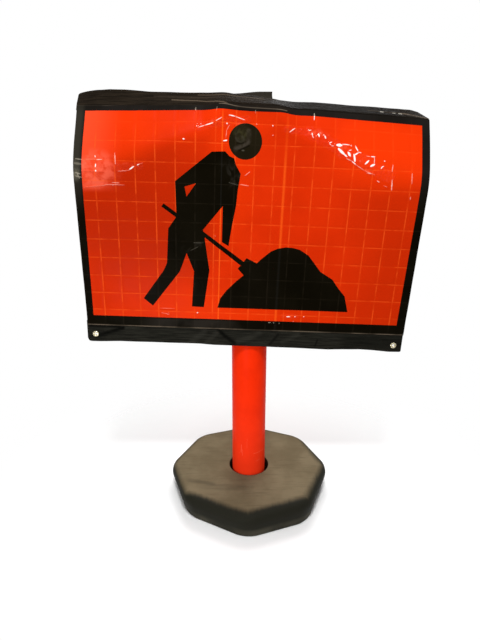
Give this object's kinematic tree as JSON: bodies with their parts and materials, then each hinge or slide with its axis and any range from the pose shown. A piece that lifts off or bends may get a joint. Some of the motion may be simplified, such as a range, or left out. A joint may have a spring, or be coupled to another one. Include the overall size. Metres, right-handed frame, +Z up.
{
  "type": "roll-up traffic sign",
  "caption": "Roll-up road-works sign: a welded-cell sheet with batten hems and a rear sleeve, slipped over a tube with a T-shaped grip that stands in an eight-sided rubber base.",
  "frame": {"origin": "on the ground, on the post's axis", "axes": "+Z up along the post, the sign faces -Y, +X to the right of someone who reads it"},
  "size_m": [0.923, 0.4938, 1.1907],
  "materials": {
    "recycled_rubber": "moulded recycled rubber, dusty on top",
    "foot_plastic": "black, matt",
    "post_plastic": "red-orange, satin, lightly scratched",
    "face_pvc": "red-orange sheet of welded square cells with a printed black border and figure",
    "hem_fabric": "black coated fabric, satin",
    "cap_weave": "black coarse weave",
    "batten": "pale glass-fibre strip",
    "eyelet_brass": "bright brass"
  },
  "bodies": {
    "foot": {"post_foot": "foot_plastic"},
    "base": {"rubber_base": "recycled_rubber"},
    "post": {"post_tube": "post_plastic", "t_top": "post_plastic"},
    "sign_head": {"sign_face": "face_pvc", "top_hem": "hem_fabric", "bottom_hem": "hem_fabric", "rear_sleeve": "hem_fabric", "sleeve_cap": "cap_weave", "top_batten": "batten", "bottom_batten": "batten", "eyelet_left": "eyelet_brass", "eyelet_right": "eyelet_brass", "eyelet_washer_left": "eyelet_brass", "eyelet_washer_right": "eyelet_brass"}
  },
  "joints": [
    {"name": "base_lift", "type": "slide", "parent": "foot", "child": "base", "axis": [0, 0, 1], "range_m": [0, 0.4]},
    {"name": "post_turn", "type": "hinge", "parent": "foot", "child": "post", "pos_m": [0, 0, 0], "axis": [0, 0, 1], "continuous": true},
    {"name": "sign_lift", "type": "slide", "parent": "post", "child": "sign_head", "axis": [0, 0, 1], "range_m": [0, 0.7]}
  ]
}
